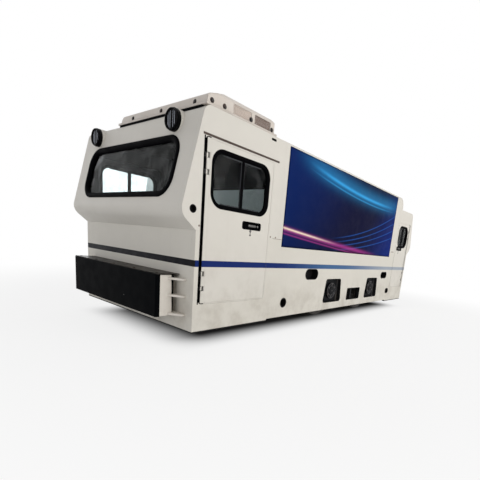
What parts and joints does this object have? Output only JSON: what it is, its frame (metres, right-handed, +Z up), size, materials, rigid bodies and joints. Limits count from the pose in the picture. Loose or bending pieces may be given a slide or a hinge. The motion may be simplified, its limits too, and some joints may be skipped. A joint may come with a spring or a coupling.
{
  "type": "electric locomotive",
  "caption": "Small two-axle battery locomotive with outside frames, a tall front cab, a hooded battery space and a low rear cab",
  "frame": {"origin": "middle of the overall box, at the lowest point of the wheel flanges", "axes": "+X towards the tall front cab, +Y to the left side, +Z up"},
  "size_m": [3.75, 1.354, 1.4309],
  "materials": {
    "cream_paint": "gloss",
    "black_paint": "satin",
    "chassis_paint": "satin",
    "window_glass": "gloss",
    "axle_steel": "satin",
    "wheel_iron": "matte",
    "spring_rubber": "matte",
    "lamp_plastic": "gloss",
    "banner_cloth": "satin",
    "seat_leather": "matte",
    "desk_plastic": "matte",
    "battery_plastic": "matte"
  },
  "bodies": {
    "locomotive": {"air_conditioner_base": "cream_paint", "air_conditioner_cover": "cream_paint", "axle_boxes": "chassis_paint", "banners": "banner_cloth", "battery_block": "battery_plastic", "brake_gear": "wheel_iron", "bumper_front": "cream_paint", "bumper_plate_front": "black_paint", "bumper_plate_rear": "black_paint", "bumper_rear": "cream_paint", "cab_bulkhead_front": "cream_paint", "cab_bulkhead_rear": "cream_paint", "cab_sheet_front": "cream_paint", "cab_sheet_rear": "cream_paint", "cab_side_front_left": "cream_paint", "cab_side_front_right": "cream_paint", "cab_side_rear_left": "cream_paint", "cab_side_rear_right": "cream_paint", "cross_members": "chassis_paint", "desks": "desk_plastic", "floor_plates": "chassis_paint", "frame_end_front": "cream_paint", "frame_end_rear": "cream_paint", "frame_side_left": "cream_paint", "frame_side_right": "cream_paint", "headlamps": "lamp_plastic", "hood_roof": "cream_paint", "hood_side_left": "cream_paint", "hood_side_right": "cream_paint", "horn_guides": "chassis_paint", "seats": "seat_leather", "springs": "spring_rubber", "traction_motor_front": "chassis_paint", "traction_motor_rear": "chassis_paint", "windscreens": "window_glass"},
    "wheelset_front": {"axle_front": "axle_steel", "wheels_front": "wheel_iron"},
    "door_leaf_front_left": {"door_front_left": "cream_paint", "door_glass_front_left": "window_glass"},
    "door_leaf_front_right": {"door_front_right": "cream_paint", "door_glass_front_right": "window_glass"},
    "wheelset_rear": {"axle_rear": "axle_steel", "wheels_rear": "wheel_iron"},
    "door_leaf_rear_left": {"door_rear_left": "cream_paint", "door_glass_rear_left": "window_glass"},
    "door_leaf_rear_right": {"door_rear_right": "cream_paint", "door_glass_rear_right": "window_glass"}
  },
  "joints": [
    {"name": "wheels_roll_front", "type": "hinge", "parent": "locomotive", "child": "wheelset_front", "pos_m": [0.125, 0, 0.285], "axis": [0, 1, 0], "continuous": true},
    {"name": "wheels_roll_rear", "type": "hinge", "parent": "locomotive", "child": "wheelset_rear", "pos_m": [-0.735, 0, 0.285], "axis": [0, 1, 0], "continuous": true},
    {"name": "door_swing_front_left", "type": "hinge", "parent": "locomotive", "child": "door_leaf_front_left", "pos_m": [1.665, 0.665, 0.7], "axis": [0, 0, -1], "range_deg": [0, 95]},
    {"name": "door_swing_front_right", "type": "hinge", "parent": "locomotive", "child": "door_leaf_front_right", "pos_m": [1.665, -0.665, 0.7], "axis": [0, 0, 1], "range_deg": [0, 95]},
    {"name": "door_swing_rear_left", "type": "hinge", "parent": "locomotive", "child": "door_leaf_rear_left", "pos_m": [-1.665, 0.665, 0.7], "axis": [0, 0, 1], "range_deg": [0, 95]},
    {"name": "door_swing_rear_right", "type": "hinge", "parent": "locomotive", "child": "door_leaf_rear_right", "pos_m": [-1.665, -0.665, 0.7], "axis": [0, 0, -1], "range_deg": [0, 95]}
  ]
}
